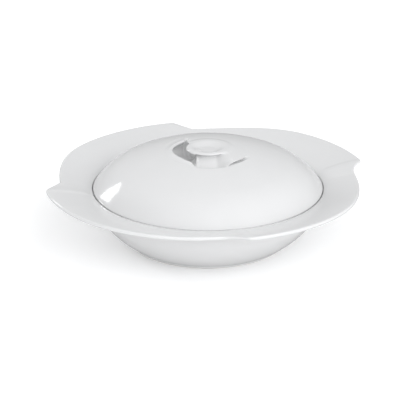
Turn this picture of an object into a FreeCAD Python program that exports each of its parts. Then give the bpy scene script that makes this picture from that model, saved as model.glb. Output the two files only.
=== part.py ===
import FreeCAD, Part
import Sketcher
import math
import os

# Covered casserole dish in glazed porcelain, in millimetres.
# +Z is up, the table is z = 0 and the Z axis is the axis of the bowl, the mouth and the lid.
# Two fired pieces: the dish, whose wide rim is a pinwheel of four blades, and the lid.
# Angles are in degrees about Z, from +X towards +Y.

SIZES = {
    # dish: foot and outside of the bowl
    "foot_outer": 74.0,
    "foot_inner": 70.0,
    "foot_height": 2.5,
    "base_underside": 2.0,
    "bowl_start": 76.0,
    "bowl_waist": 101.6,
    "bowl_waist_height": 28.5,
    "bowl_top": 106.6,
    "bowl_top_height": 44.5,
    "bowl_low_bend": 90.0,
    "bowl_high_bend": 31.0,
    # dish: inside of the bowl
    "floor_height": 6.5,
    "floor_radius": 67.2,
    "floor_bend": 20.0,
    "inside_heel": 79.7,
    "inside_heel_height": 10.9,
    "wall": 4.5,
    # dish: mouth, the ledge that the lid sits on, and the root of the rim
    "mouth_radius": 108.7,
    "mouth_height": 52.0,
    "ledge_inner": 102.6,
    "ledge_height": 48.5,
    "lip_round": 1.5,
    "root_radius": 113.0,
    "root_rise": 0.7,
    "root_thickness": 3.2,
    "flare_bend": 20.0,
    # dish: rim blades, which start at a tip, draw in and down to a heel, and hook out again
    "blade_inner": 111.5,
    "blade_inner_rise": 0.2,
    "blade_inner_thickness": 3.4,
    "rim_thickness": 3.6,
    "tip_angle": 13.8,
    "tip_radius": 150.4,
    "tip_rise": 9.1,
    "heel_inset": 13.2,
    "heel_drop": 2.4,
    "tip_crown": 150.0,
    "heel_crown_loss": 50.0,
    # lid: dome and edge
    "lid_radius": 107.8,
    "lid_edge_height": 51.6,
    "lid_seat_gap": 0.2,
    "lid_edge_chamfer": 1.0,
    "shoulder_radius": 78.0,
    "shoulder_height": 75.3,
    "shoulder_bend": 69.0,
    "crown_bend": 208.0,
    "lid_wall": 4.5,
    # lid: locating ring under the dome
    "ring_outer": 101.2,
    "ring_inner": 97.2,
    "ring_depth": 4.0,
    "ring_top_height": 57.4,
    # lid: scooped recess round the knob
    "recess_lip": 34.0,
    "recess_lip_height": 87.4,
    "recess_wall": 27.5,
    "recess_floor": 19.0,
    "recess_floor_height": 75.0,
    "recess_bend": 11.0,
    "boss_radius": 30.0,
    "boss_blend": 43.0,
    "boss_blend_height": 81.6,
    # lid: knob
    "neck_radius": 11.2,
    "neck_height": 82.0,
    "neck_bend": 9.0,
    "button_radius": 19.4,
    "button_height": 88.7,
    "button_under": 17.0,
    "button_under_height": 86.8,
    "button_lip": 16.8,
    "button_top_height": 90.1,
    "button_hollow_height": 88.7,
    # lid: swirl arm that joins the knob to the dome on one side, and the groove in front of it
    "arm_inner": 8.0,
    "arm_top_height": 87.7,
    "arm_outer": 36.0,
    "arm_outer_height": 86.9,
    "arm_sweep": 130.0,
    "arm_middle": 12.0,
    "groove_radius": 36.2,
    "groove_half_width": 0.9,
    "groove_bottom_height": 84.8,
    "groove_top_height": 90.0,
    "groove_sweep": 44.0,
    "groove_middle": -44.0,
}

BLADES = 4
# Angles past a blade's tip: the rim is full size up to FULL_ANGLE, draws in as far as
# HEEL_ANGLE, and from there hooks out to the next tip, which it meets HOOK_SHORT short of
# its full size.
BLADE_ANGLE = 360 / BLADES
FULL_ANGLE = 28
HEEL_ANGLE = 81
HOOK_SHORT = 0.12
SECTION_ANGLES = (0, 10, 20, 30, 40, 50, 60, 70, 77, 81, 84, 87, 90)

# Rim edge, in rim thicknesses: its bend, and how far it bulges past the faces it joins.
EDGE_BEND = 0.55
EDGE_BULGE = EDGE_BEND - math.sqrt(EDGE_BEND ** 2 - 0.5 ** 2)

# Outward normals of the walls, as (radius, height): at the bowl's waist and the lid's shoulder.
WAIST_NORMAL = (0.84, -0.55)
SHOULDER_NORMAL = (0.37, 0.93)


class Size:
    """A sum of sheet cells, each times a factor, and a number: as an expression and in figures."""

    def __init__(self, plus=0, **parts):
        terms = ["(%.6f) * Sizes.%s" % (factor, alias) for alias, factor in parts.items()]
        self.text = " + ".join(terms + ["(%.6f)" % plus])
        self.number = sum(factor * SIZES[alias] for alias, factor in parts.items()) + plus


def cell(alias):
    return Size(**{alias: 1})


ZERO = Size()


def make_sheet(doc):
    sheet = doc.addObject("Spreadsheet::Sheet", "Sizes")
    for row, (alias, value) in enumerate(SIZES.items(), start=1):
        sheet.set("A%d" % row, alias)
        sheet.set("B%d" % row, str(value))
        sheet.setAlias("B%d" % row, alias)
    doc.recompute()
    return sheet


def origin_feature(body, role):
    return next(item for item in body.Origin.OriginFeatures if item.Role == role)


def arc_through(start, end, radius, turn):
    """The shorter arc from start to end: turn is 1 for counter-clockwise, -1 for clockwise."""
    chord = end - start
    side = FreeCAD.Vector(-chord.y, chord.x, 0).normalize() * turn
    rise = math.sqrt(max(radius ** 2 - (chord.Length / 2) ** 2, 0))
    centre = start + chord * 0.5 + side * rise
    first, last = (start, end) if turn > 0 else (end, start)
    angles = [math.atan2(point.y - centre.y, point.x - centre.x) for point in (first, last)]
    circle = Part.Circle(centre, FreeCAD.Vector(0, 0, 1), radius)
    return Part.ArcOfCircle(circle, angles[0], angles[1])


def bind(sketch, kind, targets, size):
    """One dimension of a sketch, bound to the sheet; a zero becomes a point on an axis."""
    if size.number == 0:
        axis = {"DistanceX": -2, "DistanceY": -1}[kind]
        sketch.addConstraint(Sketcher.Constraint("PointOnObject", *targets[2:], axis))
        return
    index = sketch.addConstraint(Sketcher.Constraint(kind, *targets, size.number))
    sketch.setExpression("Constraints[%d]" % index, size.text)


def outline(body, name, corners, arcs, turned=None):
    """A closed outline in a radial plane: the plane of X and Z, or that plane turned about Z.

    corners are (radius, height) pairs of Size; arcs gives the edges that leave a corner as an
    arc: {corner number: (radius, turn)}. The other edges are straight.
    """
    sketch = body.newObject("Sketcher::SketchObject", name)
    sketch.AttachmentSupport = [(origin_feature(body, "XZ_Plane"), "")]
    sketch.MapMode = "FlatFace"
    if turned:
        about_z = FreeCAD.Rotation(FreeCAD.Vector(0, 1, 0), turned.number)
        sketch.AttachmentOffset = FreeCAD.Placement(FreeCAD.Vector(), about_z)
        sketch.setExpression("AttachmentOffset.Rotation.Angle", turned.text)
    points = [FreeCAD.Vector(radius.number, height.number, 0) for radius, height in corners]
    starts, ends = [], []
    for number, start in enumerate(points):
        end = points[(number + 1) % len(points)]
        if number in arcs:
            bend, turn = arcs[number]
            sketch.addGeometry(arc_through(start, end, bend.number, turn))
            starts.append(1 if turn > 0 else 2)
            ends.append(2 if turn > 0 else 1)
        else:
            sketch.addGeometry(Part.LineSegment(start, end))
            starts.append(1)
            ends.append(2)
    for number, (radius, height) in enumerate(corners):
        before = number - 1 if number else len(corners) - 1
        joint = Sketcher.Constraint("Coincident", before, ends[before], number, starts[number])
        sketch.addConstraint(joint)
        bind(sketch, "DistanceX", (-1, 1, number, starts[number]), radius)
        bind(sketch, "DistanceY", (-1, 1, number, starts[number]), height)
    for number, (bend, turn) in arcs.items():
        bind(sketch, "Radius", (number,), bend)
    return sketch


def revolve(body, name, sketch, sweep=None, kind="PartDesign::Revolution"):
    """Turn an outline about Z: all the way round, or by sweep on both sides of its plane."""
    feature = body.newObject(kind, name)
    feature.Profile = sketch
    feature.ReferenceAxis = (sketch, ["V_Axis"])
    if sweep:
        feature.Midplane = True
        feature.setExpression("Angle", cell(sweep).text)
    else:
        feature.Angle = 360
    return feature


def bowl_outline(body):
    """Foot, bowl wall, ledge and lip, with the root that the rim blades grow from."""
    inner_bend_low = Size(bowl_low_bend=1, wall=-1)
    inner_bend_high = Size(bowl_high_bend=1, wall=-1)
    corners = [
        (ZERO, cell("base_underside")),
        (cell("foot_inner"), cell("base_underside")),
        (cell("foot_inner"), ZERO),
        (cell("foot_outer"), ZERO),
        (cell("foot_outer"), cell("foot_height")),
        (cell("bowl_start"), cell("foot_height")),
        (cell("bowl_waist"), cell("bowl_waist_height")),
        (cell("bowl_top"), cell("bowl_top_height")),
        (cell("root_radius"), Size(mouth_height=1, root_rise=1, root_thickness=-1)),
        (cell("root_radius"), Size(mouth_height=1, root_rise=1)),
        (Size(mouth_radius=1, lip_round=1), cell("mouth_height")),
        (cell("mouth_radius"), Size(mouth_height=1, lip_round=-1)),
        (cell("mouth_radius"), cell("ledge_height")),
        (cell("ledge_inner"), cell("ledge_height")),
        (Size(bowl_top=1, wall=-1), cell("bowl_top_height")),
        (Size(bowl_waist=1, wall=-WAIST_NORMAL[0]),
         Size(bowl_waist_height=1, wall=-WAIST_NORMAL[1])),
        (cell("inside_heel"), cell("inside_heel_height")),
        (cell("floor_radius"), cell("floor_height")),
        (ZERO, cell("floor_height")),
    ]
    arcs = {
        5: (cell("bowl_low_bend"), 1),
        6: (cell("bowl_high_bend"), 1),
        7: (cell("flare_bend"), -1),
        10: (cell("lip_round"), 1),
        14: (inner_bend_high, -1),
        15: (inner_bend_low, -1),
        16: (cell("floor_bend"), -1),
    }
    return outline(body, "bowl_outline", corners, arcs)


def heel_share(angle):
    """How much of the heel's inset and drop the rim has, at an angle past a blade's tip."""
    if angle > HEEL_ANGLE:
        step = (BLADE_ANGLE - angle) / (BLADE_ANGLE - HEEL_ANGLE)
        return HOOK_SHORT + (1 - HOOK_SHORT) * step
    step = max((angle - FULL_ANGLE) / (HEEL_ANGLE - FULL_ANGLE), 0)
    return step * step * (3 - 2 * step)


def blade_outline(body, angle):
    """Cross-section of a rim blade, at an angle past its tip."""
    share = heel_share(angle)
    end_radius = Size(tip_radius=1, heel_inset=-share, rim_thickness=-EDGE_BULGE)
    top = dict(mouth_height=1, tip_rise=1, heel_drop=-share)
    inner_top = dict(mouth_height=1, blade_inner_rise=1)
    crown = Size(tip_crown=1, heel_crown_loss=-share)
    corners = [
        (cell("blade_inner"), Size(**inner_top)),
        (end_radius, Size(**top)),
        (end_radius, Size(rim_thickness=-1, **top)),
        (cell("blade_inner"), Size(blade_inner_thickness=-1, **inner_top)),
    ]
    arcs = {
        0: (crown, -1),
        1: (Size(rim_thickness=EDGE_BEND), -1),
        2: (crown, 1),
    }
    turned = Size(tip_angle=1, plus=angle)
    return outline(body, "blade_outline_%03d" % (10 * angle), corners, arcs, turned)


def make_dish(doc):
    body = doc.addObject("PartDesign::Body", "dish")
    revolve(body, "bowl", bowl_outline(body))
    sections = [blade_outline(body, angle) for angle in SECTION_ANGLES]
    blade = body.newObject("PartDesign::AdditiveLoft", "blade")
    blade.Profile = sections[0]
    blade.Sections = sections[1:]
    doc.recompute()
    rim = body.newObject("PartDesign::PolarPattern", "rim")
    rim.Originals = [blade]
    rim.Axis = (origin_feature(body, "Z_Axis"), [""])
    rim.Angle = 360
    rim.Occurrences = BLADES
    body.Tip = rim
    return body


def lid_outline(body):
    """Dome, edge, locating ring, recess and knob."""
    seat = Size(ledge_height=1, lid_seat_gap=1)
    corners = [
        (ZERO, cell("button_hollow_height")),
        (ZERO, Size(recess_floor_height=1, lid_wall=-1)),
        (cell("boss_radius"), Size(recess_floor_height=1, lid_wall=-1)),
        (cell("boss_blend"), cell("boss_blend_height")),
        (Size(shoulder_radius=1, lid_wall=-SHOULDER_NORMAL[0]),
         Size(shoulder_height=1, lid_wall=-SHOULDER_NORMAL[1])),
        (cell("ring_inner"), cell("ring_top_height")),
        (cell("ring_inner"), Size(ledge_height=1, ring_depth=-1)),
        (cell("ring_outer"), Size(ledge_height=1, ring_depth=-1)),
        (cell("ring_outer"), seat),
        (Size(lid_radius=1, lid_edge_chamfer=-1), seat),
        (cell("lid_radius"), Size(ledge_height=1, lid_seat_gap=1, lid_edge_chamfer=1)),
        (cell("lid_radius"), cell("lid_edge_height")),
        (cell("shoulder_radius"), cell("shoulder_height")),
        (cell("recess_lip"), cell("recess_lip_height")),
        (cell("recess_wall"), cell("recess_floor_height")),
        (cell("recess_floor"), cell("recess_floor_height")),
        (cell("neck_radius"), cell("neck_height")),
        (cell("button_under"), cell("button_under_height")),
        (cell("button_radius"), cell("button_height")),
        (cell("button_lip"), cell("button_top_height")),
    ]
    arcs = {
        3: (Size(crown_bend=1, lid_wall=-1), -1),
        4: (Size(shoulder_bend=1, lid_wall=-1), -1),
        11: (cell("shoulder_bend"), 1),
        12: (cell("crown_bend"), 1),
        13: (cell("recess_bend"), -1),
        15: (cell("neck_bend"), -1),
        16: (cell("neck_bend"), -1),
    }
    return outline(body, "lid_outline", corners, arcs)


def arm_outline(body):
    """Fills the recess from the neck out to the dome, flush with the dome."""
    corners = [
        (cell("arm_inner"), cell("recess_floor_height")),
        (cell("arm_outer"), cell("recess_floor_height")),
        (cell("arm_outer"), cell("arm_outer_height")),
        (cell("arm_inner"), cell("arm_top_height")),
    ]
    return outline(body, "arm_outline", corners, {}, turned=cell("arm_middle"))


def groove_outline(body):
    """A narrow V between the arm and the dome."""
    corners = [
        (cell("groove_radius"), cell("groove_bottom_height")),
        (Size(groove_radius=1, groove_half_width=1), cell("groove_top_height")),
        (Size(groove_radius=1, groove_half_width=-1), cell("groove_top_height")),
    ]
    return outline(body, "groove_outline", corners, {}, turned=cell("groove_middle"))


def make_lid(doc):
    body = doc.addObject("PartDesign::Body", "lid")
    revolve(body, "dome_and_knob", lid_outline(body))
    revolve(body, "swirl_arm", arm_outline(body), "arm_sweep")
    body.Tip = revolve(body, "swirl_groove", groove_outline(body), "groove_sweep",
                       "PartDesign::Groove")
    return body


def check(doc):
    for item in doc.Objects:
        faults = {"Invalid", "Error"} & set(item.State)
        if faults:
            raise RuntimeError("%s is %s" % (item.Name, sorted(faults)))


def export(part):
    shape = part.Shape
    if shape.isNull() or not shape.isValid():
        raise RuntimeError("%s has no valid shape" % part.Label)
    shape.exportStep("parts/%s.step" % part.Label)
    box = shape.optimalBoundingBox()
    print("%s: %d solid, %.1f cm3, z %.2f to %.2f, x %.2f to %.2f, y %.2f to %.2f" % (
        part.Label, len(shape.Solids), shape.Volume / 1000, box.ZMin, box.ZMax,
        box.XMin, box.XMax, box.YMin, box.YMax))


def main():
    os.makedirs("parts", exist_ok=True)
    doc = FreeCAD.newDocument("casserole")
    make_sheet(doc)
    parts = [make_dish(doc), make_lid(doc)]
    doc.recompute()
    check(doc)
    for part in parts:
        export(part)


main()
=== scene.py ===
import math

import bmesh
import bpy
import numpy as np
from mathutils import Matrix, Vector


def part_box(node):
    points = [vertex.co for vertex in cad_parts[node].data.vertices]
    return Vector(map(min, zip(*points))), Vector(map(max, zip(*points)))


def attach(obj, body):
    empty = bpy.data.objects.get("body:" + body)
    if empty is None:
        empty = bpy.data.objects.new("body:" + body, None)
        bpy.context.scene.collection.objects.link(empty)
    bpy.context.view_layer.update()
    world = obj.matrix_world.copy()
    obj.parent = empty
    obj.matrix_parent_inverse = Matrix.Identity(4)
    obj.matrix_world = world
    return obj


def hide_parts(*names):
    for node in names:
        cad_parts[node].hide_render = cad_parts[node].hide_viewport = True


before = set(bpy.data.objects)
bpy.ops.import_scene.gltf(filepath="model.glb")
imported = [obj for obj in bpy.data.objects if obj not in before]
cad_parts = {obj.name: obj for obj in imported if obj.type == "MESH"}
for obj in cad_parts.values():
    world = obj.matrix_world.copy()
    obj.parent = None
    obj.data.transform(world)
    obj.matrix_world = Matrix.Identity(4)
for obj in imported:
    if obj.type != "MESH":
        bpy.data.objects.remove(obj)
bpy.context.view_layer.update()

# A covered casserole dish in glazed porcelain: a bowl with a pinwheel rim, and its lid.
# Sizes are in millimetres and angles in degrees until a mesh is made.
MM = 0.001

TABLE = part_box("dish")[0].z / MM
LID_LOW, LID_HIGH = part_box("lid")
LID_TOP = LID_HIGH.z / MM

# The seam: the lid is a little smaller than its solid, and the mouth stands GAP off it.
LID_PLAY = 1.2
GAP = 0.8
LID_RADIUS = LID_HIGH.x / MM - LID_PLAY
MOUTH_RADIUS = LID_RADIUS + GAP
MOUTH_HEIGHT = 52.0

# The rim: four blades, each from a tip, drawn in to a heel and hooked out to the next tip. They
# differ a little, as shaped by hand: the angle of each tip, how far it reaches past TIP_RADIUS,
# how much it slants in (mm for each degree), where it starts to be drawn in and how far, its
# heel's angle, and how gently its hook begins.
TIP_ANGLES = (15.7, 103.8, 193.8, 283.8)
BLADE_REACHES = (1.0, 1.1, 1.5, -0.9)
SLANTS = (0.045, 0.075, 0.045, 0.045)
DRAWN_FROM = (34.0, 46.0, 34.0, 34.0)
DRAWN_DEPTHS = (11.6, 8.5, 10.0, 7.8)
HEEL_ANGLES = (82.5, 80.5, 82.5, 79.5)
HOOK_BENDS = (1.3, 1.3, 1.3, 3.0)
BLADE_ANGLE = 360 / len(TIP_ANGLES)
TIP_RADIUS = 150.3
TIP_RISE = 9.1
DISH_COLUMNS_PER_BLADE = 120

# The lid: a dome of two arcs, and the radius where the knob's surroundings run into it.
LID_WALL = 4.5
CROWN_BEND, SHOULDER_BEND = 208.0, 69.0
SHOULDER = (78.0, 75.3)
LID_EDGE = (LID_RADIUS, 51.6)
DOME_START = 45.0
LID_COLUMNS = 380


# ---------------------------------------------------------------- curves

def smooth_step(value):
    value = np.clip(value, 0, 1)
    return value * value * (3 - 2 * value)


def arc(start, end, radius, turn, count):
    """Points after start up to end on the shorter arc; turn is 1 for counter-clockwise."""
    start, end = np.array(start, float), np.array(end, float)
    chord = end - start
    length = math.hypot(*chord)
    side = np.array([-chord[1], chord[0]]) / length * turn
    centre = (start + end) / 2 + side * math.sqrt(max(radius ** 2 - length ** 2 / 4, 0))
    first = math.atan2(*(start - centre)[::-1])
    sweep = 2 * math.asin(min(length / 2 / radius, 1)) * turn
    steps = np.arange(1, count + 1) / count
    angles = first + sweep * steps
    return [(centre[0] + radius * math.cos(a), centre[1] + radius * math.sin(a)) for a in angles]


def line(start, end, count):
    """Points after start up to end on a straight line."""
    steps = np.arange(1, count + 1) / count
    return [(start[0] + (end[0] - start[0]) * s, start[1] + (end[1] - start[1]) * s)
            for s in steps]


def rounded(corners, spacing=3.0, fillet_points=5):
    """A path through (radius, height, rounding) corners, with the corners rounded off."""
    path = [corners[0][:2]]
    for before, corner, after in zip(corners, corners[1:], corners[2:]):
        here = np.array(corner[:2])
        back = np.array(before[:2]) - here
        ahead = np.array(after[:2]) - here
        back_length, ahead_length = np.linalg.norm(back), np.linalg.norm(ahead)
        back, ahead = back / back_length, ahead / ahead_length
        half = math.acos(np.clip(np.dot(back, ahead), -1, 1)) / 2
        reach = min(corner[2] / math.tan(half), 0.48 * back_length, 0.48 * ahead_length)
        radius = reach * math.tan(half)
        start, end = here + back * reach, here + ahead * reach
        path += line(path[-1], start, straight_count(path[-1], start, spacing))
        turn = 1 if back[1] * ahead[0] - back[0] * ahead[1] > 0 else -1
        path += arc(start, end, radius, turn, fillet_points)
    path += line(path[-1], corners[-1][:2], straight_count(path[-1], corners[-1], spacing))
    return path


def straight_count(start, end, spacing):
    return max(1, round(math.hypot(end[0] - start[0], end[1] - start[1]) / spacing))


def spline_rows(controls, samples):
    """Catmull-Rom rows through control rows of shape (controls, columns, 2)."""
    padded = np.concatenate([2 * controls[:1] - controls[1:2], controls,
                             2 * controls[-1:] - controls[-2:-1]])
    rows = []
    for index in range(len(controls) - 1):
        a, b, c, d = padded[index:index + 4]
        for sample in range(samples):
            t = sample / samples
            rows.append(0.5 * (2 * b + (c - a) * t + (2 * a - 5 * b + 4 * c - d) * t ** 2
                               + (3 * b - a - 3 * c + d) * t ** 3))
    rows.append(controls[-1])
    return np.array(rows)


# ---------------------------------------------------------------- meshes

def tile(path, columns):
    """A path of (radius, height) points repeated in every column."""
    return np.repeat(np.array(path, float)[:, None, :], columns, axis=1)


def lathe(name, rows, angles, bare_rows, materials):
    """A closed mesh from rows of (radius, height), one per column angle; the ends are poles.

    The first material is the glaze; the second covers bare_rows, the first and last bare row.
    """
    turn = np.radians(angles)
    ring = np.stack([rows[..., 0] * np.cos(turn), rows[..., 0] * np.sin(turn), rows[..., 1]], -1)
    inner = ring[1:-1]
    count, columns = inner.shape[:2]
    points = np.concatenate([inner.reshape(-1, 3), ring[:1, 0], ring[-1:, 0]]) * MM
    south, north = count * columns, count * columns + 1
    nexts = (np.arange(columns) + 1) % columns
    first_bare, last_bare = bare_rows
    faces, slots = [], []
    for row in range(count - 1):
        here, above = row * columns, (row + 1) * columns
        bare = first_bare <= row + 1 < last_bare
        for column, following in enumerate(nexts):
            faces.append((here + column, here + following, above + following, above + column))
            slots.append(int(bare))
    top = (count - 1) * columns
    for column, following in enumerate(nexts):
        faces.append((south, following, column))
        faces.append((north, top + column, top + following))
        slots += [0, 0]
    mesh = bpy.data.meshes.new(name)
    mesh.from_pydata(points.tolist(), [], [tuple(map(int, face)) for face in faces])
    for material in materials:
        mesh.materials.append(material)
    mesh.polygons.foreach_set("material_index", slots)
    mesh.polygons.foreach_set("use_smooth", [True] * len(faces))
    edit = bmesh.new()
    edit.from_mesh(mesh)
    bmesh.ops.recalc_face_normals(edit, faces=edit.faces)
    edit.to_mesh(mesh)
    edit.free()
    mesh.update()
    piece = bpy.data.objects.new(name, mesh)
    bpy.context.scene.collection.objects.link(piece)
    return piece


def rows_below(rows, height):
    """The first and last row under a height."""
    below = np.flatnonzero(rows[:, 0, 1] < height)
    return below[0], below[-1]


# ---------------------------------------------------------------- dish

def blade_angles(heel_angle):
    """Column angles along one blade, closer together at the tip and at the heel."""
    tip_density, heel_density, spread = 5, 2, 4
    fine = np.linspace(0, BLADE_ANGLE, 1801)
    to_tip = np.minimum(fine, BLADE_ANGLE - fine)
    density = (1 + tip_density * np.exp(-(to_tip / spread) ** 2)
               + heel_density * np.exp(-((fine - heel_angle) / spread) ** 2))
    total = np.concatenate([[0], np.cumsum((density[1:] + density[:-1]) / 2)])
    share = np.arange(DISH_COLUMNS_PER_BLADE) / DISH_COLUMNS_PER_BLADE
    return np.interp(share * total[-1], total, fine)


def evened(turns):
    """Angles past the first tip, as if the tips stood evenly round the rim."""
    past_first = (turns - TIP_ANGLES[0]) % 360
    tips = [angle - TIP_ANGLES[0] for angle in TIP_ANGLES] + [360]
    return np.interp(past_first, tips, BLADE_ANGLE * np.arange(len(tips)))


def softened(values, spread):
    """Values on an even, closed run of angles, averaged over a small spread (in samples)."""
    reach = int(3 * spread)
    weights = np.exp(-0.5 * (np.arange(-reach, reach + 1) / spread) ** 2)
    wrapped = np.concatenate([values[-reach:], values, values[:reach]])
    return np.convolve(wrapped, weights / weights.sum(), mode="valid")


def rim_shape(turns):
    """Rim radius, edge height, crown, crease and thickness at the column angles.

    The tips are rounded off by softening, so each hook aims past_tip degrees too far.
    """
    drawn_to, lowered_from, lowered_to, past_tip = 82, 38, 74, 3
    heel_drop, heel_thickness, hook_thinning = 2.3, 3.6, 2.2
    tip_crown, crown_loss, crease_height = 0.6, 0.45, 0.55
    step = 0.1
    fine = np.arange(0, BLADE_ANGLE, step)
    radius, height, crown, crease, thickness = [], [], [], [], []
    blades = zip(BLADE_REACHES, SLANTS, DRAWN_FROM, DRAWN_DEPTHS, HEEL_ANGLES, HOOK_BENDS)
    for index, (reach, slant, drawn_from, depth, heel_angle, bend) in enumerate(blades):
        next_reach = BLADE_REACHES[(index + 1) % len(BLADE_REACHES)]
        drawn = smooth_step((fine - drawn_from) / (drawn_to - drawn_from))
        lowered = smooth_step((fine - lowered_from) / (lowered_to - lowered_from))
        hook = np.clip((fine - heel_angle) / (BLADE_ANGLE - heel_angle), 0, 1)
        radius.append(TIP_RADIUS + reach - slant * fine - depth * drawn
                      + (depth + slant * (BLADE_ANGLE + past_tip) + next_reach - reach) * hook ** bend)
        height.append(MOUTH_HEIGHT + TIP_RISE - heel_drop * lowered + heel_drop * hook)
        crown.append(tip_crown - crown_loss * lowered + crown_loss * hook)
        crease.append(crease_height * (np.exp(-(fine / 1.5) ** 2)
                                       + np.exp(-((BLADE_ANGLE - fine) / 4.0) ** 2)))
        thickness.append(heel_thickness - hook_thinning * hook ** 0.7)
    spreads = {"radius": 6, "height": 6, "crown": 10, "crease": 4, "thickness": 10}
    around = np.arange(0, 360, step)
    values = dict(radius=radius, height=height, crown=crown, crease=crease, thickness=thickness)
    return [np.interp(evened(turns), around, softened(np.concatenate(values[name]), spread),
                      period=360) for name, spread in spreads.items()]


def dish_rows(turns):
    """Rows of (radius, height) from the middle of the underside round the rim to the floor."""
    columns = len(turns)
    radius, height, crown, crease, thickness = rim_shape(turns)

    # Foot ring and bowl wall, up to the root of the rim
    foot = rounded([(0, 2.2, 0), (69.5, 2.0, 1.5), (70.6, 0, 0.9), (73.8, 0, 0.9),
                    (74.5, 2.4, 0.8), (76.4, 3.0, 0)])
    wall = arc(foot[-1], (102.0, 28.5), 90, 1, 14)
    wall += arc(wall[-1], (107.0, 44.5), 31, 1, 8)
    root = (112.5, 49.2)
    wall += arc(wall[-1], root, 14, -1, 6)

    # Underside of the rim, and its rounded edge
    edge_radius = radius - thickness * 0.45
    under = []
    for step in np.linspace(0, 1, 15)[1:]:
        r = root[0] + (edge_radius - root[0]) * step
        z = root[1] + (height - thickness - root[1]) * ((1 + crown) * step - crown * step ** 2)
        under.append(np.stack([r, z], -1))
    edge = []
    for turn in np.radians(np.linspace(-75, 75, 9)):
        out = abs(math.cos(turn)) ** 0.8
        up = math.copysign(abs(math.sin(turn)) ** 0.8, turn)
        edge.append(np.stack([edge_radius + (radius - edge_radius) * out,
                              height - thickness / 2 * (1 - up)], -1))

    # Top of the rim, in to the mouth
    lip_round, lip_slope = 1.1, math.radians(36)
    lip = (MOUTH_RADIUS + lip_round * (1 - math.sin(lip_slope)), MOUTH_HEIGHT - 0.6)
    soft_rise, soft_reach = 1.3, 4.0
    top = []
    for step in np.linspace(1, 0, 41) ** 1.25:
        r = lip[0] + (edge_radius - lip[0]) * step
        soft = soft_rise * (1 - np.exp(-(r - lip[0]) / soft_reach))
        rise = (height - soft_rise - lip[1]) * ((1 + crown) * step - crown * step ** 2)
        ridge = crease * smooth_step(step / 0.25) * smooth_step((1 - step) / 0.12)
        top.append(np.stack([r, lip[1] + soft + rise + ridge], -1))

    # Mouth, ledge under the lid, and inside of the bowl
    centre = (MOUTH_RADIUS + lip_round, lip[1] - lip_round * math.cos(lip_slope))
    mouth = [(centre[0] - lip_round * math.sin(a), centre[1] + lip_round * math.cos(a))
             for a in np.linspace(lip_slope, math.pi / 2, 6)[1:]]
    ledge = rounded([mouth[-1], (MOUTH_RADIUS, 48.3, 0.8), (102.6, 48.3, 0.8),
                     (102.1, 44.5, 0)], spacing=1.5)[1:]
    inside = arc(ledge[-1], (97.8, 31.0), 26.5, -1, 8)
    inside += arc(inside[-1], (79.7, 10.9), 85.5, -1, 14)
    inside += arc(inside[-1], (67.2, 6.5), 20, -1, 6)
    inside += line(inside[-1], (0, 6.2), 14)

    before = tile(foot + wall, columns)
    after = tile(mouth + ledge + inside, columns)
    return np.concatenate([before, under, edge, top, after])


def make_dish(glaze, bare):
    ends = [*TIP_ANGLES[1:], TIP_ANGLES[0] + 360]
    turns = np.concatenate([tip + blade_angles(heel_angle) * (end - tip) / BLADE_ANGLE
                            for tip, end, heel_angle in zip(TIP_ANGLES, ends, HEEL_ANGLES)])
    rows = dish_rows(turns)
    piece = lathe("dish_body", rows, turns, rows_below(rows, TABLE + 0.35), [glaze, bare])
    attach(piece, "dish")
    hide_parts("dish")
    return piece


# ---------------------------------------------------------------- lid

def dome_height(radius):
    """Height of the dome's crown, above its shoulder."""
    middle = SHOULDER[1] - math.sqrt(CROWN_BEND ** 2 - SHOULDER[0] ** 2)
    return middle + np.sqrt(CROWN_BEND ** 2 - np.square(radius))


# Round the knob the lid has three cross-sections, from the knob's lip out to the dome, that
# turn into each other: the deep recess, the scoop in front of the neck, and the arm, which
# lies flush with the dome. Each is (radius, drop below the top of the knob).
RECESS = [(17.4, 0.0), (19.3, 0.5), (20.2, 1.6), (19.6, 2.8), (16.4, 3.7), (13.4, 5.2),
          (12.2, 8.0), (12.8, 12.0), (16.2, 15.6), (22.4, 17.0), (29.5, 16.4), (35.0, 12.8),
          (36.4, 8.2), (33.7, 4.4), (32.8, 2.6), (34.8, 1.95), (37.4, 2.8), (39.6, 3.5),
          (42.0, 3.92)]
SCOOP = [(17.4, 0.0), (19.0, 0.5), (19.5, 1.3), (18.9, 2.0), (17.6, 2.6), (16.7, 3.3),
         (16.6, 4.1), (17.6, 4.8), (19.8, 5.6), (22.4, 6.6), (25.0, 8.1), (27.4, 10.0),
         (29.8, 11.8), (32.6, 12.8), (35.6, 12.3), (38.2, 10.2), (40.2, 7.4), (41.8, 5.4),
         (43.2, 4.6)]
ROW_RADII = np.array([radius for radius, _ in SCOOP])
ROW_NUMBERS = np.arange(len(SCOOP))
# How far each row is on its way from the knob's lip (0) to the lip of the recess (1)
OUTWARD = smooth_step((ROW_NUMBERS - 3) / 9)
# How much each row belongs to the wall and lip of the recess, and to the foot of the neck
LIP_ROWS = smooth_step((ROW_NUMBERS - 8) / 3) * smooth_step((18 - ROW_NUMBERS) / 3.4)
NECK_ROWS = smooth_step((ROW_NUMBERS - 5) / 3) * smooth_step((17 - ROW_NUMBERS) / 3)

# The arm's two edges as angles at the knob and at the lip of the recess, and how many degrees
# each takes to blend in
ARM_START, ARM_START_BLEND = (-46.0, -62.0), 26
ARM_END, ARM_END_BLEND = (150.0, 130.0), 16
# How far the scoop's left edge is from the axis, and how many degrees it takes to blend in at
# the neck and at the lip of the recess
SCOOP_EDGE, SCOOP_BLEND = 11.5, (7.0, 14.0)


def arm_section():
    """From the knob's lip down to the dome's own curve."""
    radii = np.linspace(RECESS[0][0], 43.0, len(RECESS))
    share = smooth_step((radii - radii[0]) / 8)
    drops = (LID_TOP - dome_height(radii)) * share
    return np.stack([radii, drops], -1)


def between(ends, share):
    """The value a share of the way from the first end to the second."""
    return ends[0] + (ends[1] - ends[0]) * share


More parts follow.
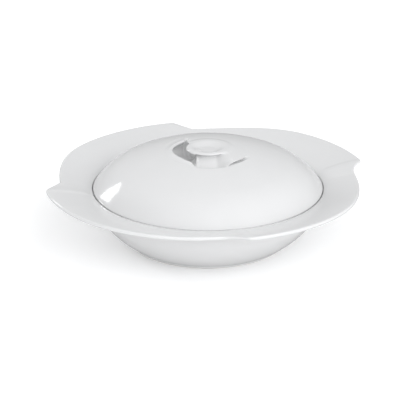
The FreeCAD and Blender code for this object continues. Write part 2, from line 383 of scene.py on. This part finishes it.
def scoop_edge():
    """The angle of the scoop's left edge in each row."""
    return np.degrees(np.arccos(np.clip(SCOOP_EDGE / ROW_RADII, 0, 1)))[:, None] - 180


def section_weights(angles):
    """How much of the recess, scoop and arm sections each row has at each angle.

    The arm's two edges swirl from the knob out to the lip; the scoop's left edge is straight,
    SCOOP_EDGE to the left of the axis.
    """
    outward = OUTWARD[:, None]
    arm = (smooth_step((angles - between(ARM_START, outward)) / ARM_START_BLEND + 0.5)
           * smooth_step((between(ARM_END, outward) - angles) / ARM_END_BLEND + 0.5))
    blend = between(SCOOP_BLEND, LIP_ROWS[:, None])
    past_scoop = 60
    scoop = smooth_step((angles - scoop_edge()) / blend + 0.5) * (angles < past_scoop)
    return (1 - scoop) * (1 - arm), scoop * (1 - arm), arm


def knob_rows(angles):
    """Rows of (radius, height) from the lip of the knob to the dome, one column per angle."""
    sections = [np.array(RECESS), np.array(SCOOP), arm_section()]
    weights = section_weights(angles[None, :])
    controls = sum(section[:, None, :] * weight[..., None]
                   for section, weight in zip(sections, weights))
    # The lip of the recess swirls: it comes in behind the knob and goes out in front of it.
    behind = angles > 90
    pulled_in = 3.0 * smooth_step((185 - angles) / 45) * behind
    let_out = 4.5 * smooth_step((angles + 140) / 36) * ~behind
    controls[..., 0] += LIP_ROWS[:, None] * weights[0] * (let_out - pulled_in)
    # A low fin stands along the scoop's left edge.
    fin_height, fin_inset = 1.0, 5
    fin = np.exp(-((angles - scoop_edge() - fin_inset) * np.radians(ROW_RADII[:, None])) ** 2)
    controls[..., 1] -= fin_height * fin * NECK_ROWS[:, None]
    end = np.array([DOME_START, LID_TOP - dome_height(DOME_START)])
    controls = np.concatenate([controls, tile([end], len(angles))])
    rows = spline_rows(controls, 6)
    rows[..., 1] = LID_TOP - rows[..., 1]
    return rows


def cut_groove(rows, angles):
    """Sink a groove outside the arm's front edge, undercut on the side of the arm."""
    start, end, undercut_start, undercut_blend = -84.0, -25.0, -70, 14
    wall, width, depth, undercut = 38.4, 3.5, 3.4, 4.6
    along = (angles - start) / (end - start)
    open_here = smooth_step(along / 0.5) * smooth_step((1 - along) / 0.12)
    undercut_here = open_here * smooth_step((angles - undercut_start) / undercut_blend)
    across = np.clip((rows[..., 0] - wall) / width, 0, 1)
    rows[..., 1] -= depth * open_here * np.sin(math.pi * across ** 0.8)
    rows[..., 0] -= undercut * undercut_here * np.sin(math.pi * across ** 0.7) ** 1.4


def lid_rows(angles):
    """Rows from the middle of the knob over the dome and back to the axis inside."""
    # The hollow in the top of the knob, then the dome outside the knob's surroundings
    hollow, hollow_radius, hollow_wall = 2.6, 16.0, 9.5
    knob_top = [(radius, LID_TOP - hollow * smooth_step((hollow_radius - radius) / hollow_wall))
                for radius in np.linspace(0, RECESS[0][0], 23)[:-1]]
    crown_radii = np.linspace(DOME_START, SHOULDER[0], 16)[1:]
    outside = [(radius, float(dome_height(radius))) for radius in crown_radii]
    outside += arc(SHOULDER, LID_EDGE, SHOULDER_BEND, -1, 20)
    # Edge, seat and locating ring, then the underside of the dome
    seat, ring_bottom = 48.7, 44.5
    rim = rounded([outside[-2], (LID_EDGE[0], LID_EDGE[1], 1.2), (LID_EDGE[0] - 0.2, seat, 1.0),
                   (101.3, seat, 0.8), (101.2, ring_bottom, 1.0), (97.2, ring_bottom, 1.0),
                   (97.2, 57.4, 3.0), (92.0, 61.3, 0)], spacing=1.5)[1:]
    inner_shoulder = (SHOULDER[0] - LID_WALL * 0.37, SHOULDER[1] - LID_WALL * 0.93)
    under = arc(rim[-1], inner_shoulder, SHOULDER_BEND - LID_WALL, 1, 8)
    under += arc(under[-1], (43.0, 81.6), CROWN_BEND - LID_WALL, 1, 8)
    under += rounded([under[-1], (41.0, 80.6, 3), (34.0, 69.8, 6), (0, 69.3, 0)])[1:]
    count = len(angles)
    knob = knob_rows(angles)
    cut_groove(knob, angles)
    return np.concatenate([tile(knob_top, count), knob, tile(outside[:-1] + rim + under, count)])


def make_lid(glaze, bare):
    angles = np.arange(LID_COLUMNS) / LID_COLUMNS * 360 - 170
    rows = lid_rows(angles)
    piece = lathe("lid_body", rows, angles, rows_below(rows, LID_LOW.z / MM + 0.3), [glaze, bare])
    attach(piece, "lid")
    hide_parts("lid")
    return piece


# ---------------------------------------------------------------- materials

def new_material(name):
    material = bpy.data.materials.new(name)
    material.use_nodes = True
    nodes, links = material.node_tree.nodes, material.node_tree.links
    return material, nodes, links, nodes["Principled BSDF"]


def add_noise(nodes, links, scale, detail):
    """A noise fixed to the piece, as a socket."""
    place = nodes.new("ShaderNodeTexCoord")
    noise = nodes.new("ShaderNodeTexNoise")
    noise.inputs["Scale"].default_value = scale
    noise.inputs["Detail"].default_value = detail
    links.new(place.outputs["Object"], noise.inputs["Vector"])
    return noise.outputs["Fac"]


def add_shades(nodes, links, shader, noise, dark, light):
    """Colour the surface between two shades, by a noise."""
    shades = nodes.new("ShaderNodeMix")
    shades.data_type = "RGBA"
    shades.inputs["A"].default_value = (*dark, 1)
    shades.inputs["B"].default_value = (*light, 1)
    links.new(noise, shades.inputs["Factor"])
    links.new(shades.outputs["Result"], shader.inputs["Base Color"])


def add_bumps(nodes, links, shader, noise, strength, distance):
    """Raise and sink the surface, by a noise; distance is in metres."""
    bump = nodes.new("ShaderNodeBump")
    bump.inputs["Strength"].default_value = strength
    bump.inputs["Distance"].default_value = distance
    links.new(noise, bump.inputs["Height"])
    links.new(bump.outputs["Normal"], shader.inputs["Normal"])


def glaze_material(name, tone):
    """White porcelain under a clear glaze, with a faint mottle and a slow surface ripple."""
    material, nodes, links, shader = new_material(name)
    mottle = add_noise(nodes, links, 55, 4)
    add_shades(nodes, links, shader, mottle, [channel * 0.975 for channel in tone], tone)
    ripple = add_noise(nodes, links, 38, 2)
    add_bumps(nodes, links, shader, ripple, 0.25, 0.0004)
    shader.inputs["Roughness"].default_value = 0.12
    shader.inputs["IOR"].default_value = 1.5
    shader.inputs["Subsurface Weight"].default_value = 0.1
    shader.inputs["Subsurface Radius"].default_value = (0.003, 0.003, 0.003)
    shader.inputs["Subsurface Scale"].default_value = 1.0
    return material


def bare_material():
    """Unglazed fired porcelain, matt and slightly rough."""
    material, nodes, links, shader = new_material("bare_porcelain")
    grain = add_noise(nodes, links, 900, 3)
    add_shades(nodes, links, shader, grain, (0.66, 0.63, 0.58), (0.78, 0.76, 0.72))
    add_bumps(nodes, links, shader, grain, 0.4, 0.0001)
    shader.inputs["Roughness"].default_value = 0.7
    return material


# ---------------------------------------------------------------- stage

def make_camera():
    """In front, looking down a little, with the middle of the mouth right of centre and above."""
    elevation, distance, lens = math.radians(21.67), 1677.7, 162.4
    aim_left, aim_down = 7.3, 14.0
    up = Vector((0, math.sin(elevation), math.cos(elevation)))
    back = Vector((0, -math.cos(elevation), math.sin(elevation)))
    mouth = Vector((0, 0, MOUTH_HEIGHT))
    target = mouth - Vector((aim_left, 0, 0)) - up * aim_down
    place = mouth + back * distance
    data = bpy.data.cameras.new("camera")
    data.lens = lens
    data.sensor_width = 36
    data.clip_start, data.clip_end = 0.05, 20
    camera = bpy.data.objects.new("camera", data)
    camera.location = place * MM
    camera.rotation_mode = "QUATERNION"
    camera.rotation_quaternion = (target - place).to_track_quat("-Z", "Y")
    bpy.context.scene.collection.objects.link(camera)
    bpy.context.scene.camera = camera


def make_sheet(name, corners):
    """A flat sheet through corners in metres, and its shader."""
    mesh = bpy.data.meshes.new(name)
    mesh.from_pydata(corners, [], [range(len(corners))])
    sheet = bpy.data.objects.new(name, mesh)
    bpy.context.scene.collection.objects.link(sheet)
    material, _, _, shader = new_material(name)
    mesh.materials.append(material)
    return sheet, shader


def make_floor():
    """A white floor that glows faintly, hidden from the glaze's mirror reflections."""
    half, height = 6.0, TABLE * MM - 0.0002
    corners = [(-half, -half, height), (half, -half, height), (half, half, height),
               (-half, half, height)]
    floor, shader = make_sheet("floor", corners)
    shader.inputs["Base Color"].default_value = (0.96, 0.96, 0.96, 1)
    shader.inputs["Roughness"].default_value = 0.9
    shader.inputs["Specular IOR Level"].default_value = 0.1
    shader.inputs["Emission Color"].default_value = (1, 1, 1, 1)
    shader.inputs["Emission Strength"].default_value = 0.12
    floor.visible_glossy = False


# A window behind on the left, which the dome mirrors: the azimuth and elevation of its corners,
# seen from the dome's left side.
WINDOW_CORNERS = [(129, 30), (133, 24), (136, 9), (150, 19), (141, 29)]
WINDOW_SEEN_FROM = Vector((-83, -52, 62))
WINDOW_DISTANCE = 3000


def make_window():
    corners = [(WINDOW_SEEN_FROM + Vector(direction_to(*corner)) * WINDOW_DISTANCE) * MM
               for corner in WINDOW_CORNERS]
    window, shader = make_sheet("window", corners)
    shader.inputs["Base Color"].default_value = (0.8, 0.8, 0.8, 1)
    shader.inputs["Emission Color"].default_value = (1, 1, 1, 1)
    shader.inputs["Emission Strength"].default_value = 7


# Soft light from all round, brighter in some directions: (azimuth, elevation, strength,
# sharpness).
EVEN_LIGHT = 0.40
LIGHT_LOBES = [(-45, 40, 0.8, 4), (-90, 40, 0.6, 4), (-60, 5, 0.9, 4), (0, 20, 0.6, 4),
               (130, 30, 0.5, 4), (225, 40, 0.4, 4), (-50, 30, 1.0, 24)]


def direction_to(azimuth, elevation):
    """A unit vector; azimuth turns from +X to +Y."""
    azimuth, elevation = math.radians(azimuth), math.radians(elevation)
    level = math.cos(elevation)
    return (level * math.cos(azimuth), level * math.sin(azimuth), math.sin(elevation))


def math_node(nodes, links, operation, first, second):
    """A math node whose inputs are a socket each, or a number for the second."""
    node = nodes.new("ShaderNodeMath")
    node.operation = operation
    links.new(first, node.inputs[0])
    if isinstance(second, (int, float)):
        node.inputs[1].default_value = second
    else:
        links.new(second, node.inputs[1])
    return node.outputs["Value"]


def make_world():
    world = bpy.data.worlds.new("world")
    world.use_nodes = True
    nodes, links = world.node_tree.nodes, world.node_tree.links
    sky = nodes["Background"]
    sky.inputs["Color"].default_value = (0.985, 0.99, 1.0, 1)
    place = nodes.new("ShaderNodeTexCoord")
    total = None
    for azimuth, elevation, strength, sharpness in LIGHT_LOBES:
        facing = nodes.new("ShaderNodeVectorMath")
        facing.operation = "DOT_PRODUCT"
        facing.inputs[1].default_value = direction_to(azimuth, elevation)
        links.new(place.outputs["Generated"], facing.inputs[0])
        lobe = math_node(nodes, links, "MAXIMUM", facing.outputs["Value"], 0.0)
        lobe = math_node(nodes, links, "POWER", lobe, sharpness)
        lobe = math_node(nodes, links, "MULTIPLY", lobe, strength)
        total = lobe if total is None else math_node(nodes, links, "ADD", total, lobe)
    total = math_node(nodes, links, "ADD", total, EVEN_LIGHT)
    links.new(total, sky.inputs["Strength"])
    bpy.context.scene.world = world
    bpy.context.scene.view_settings.view_transform = "Standard"


WHITE = (0.70, 0.701, 0.702)
make_camera()
bare_porcelain = bare_material()
make_dish(glaze_material("dish_glaze", WHITE), bare_porcelain)
make_lid(glaze_material("lid_glaze", WHITE), bare_porcelain)
make_floor()
make_window()
make_world()
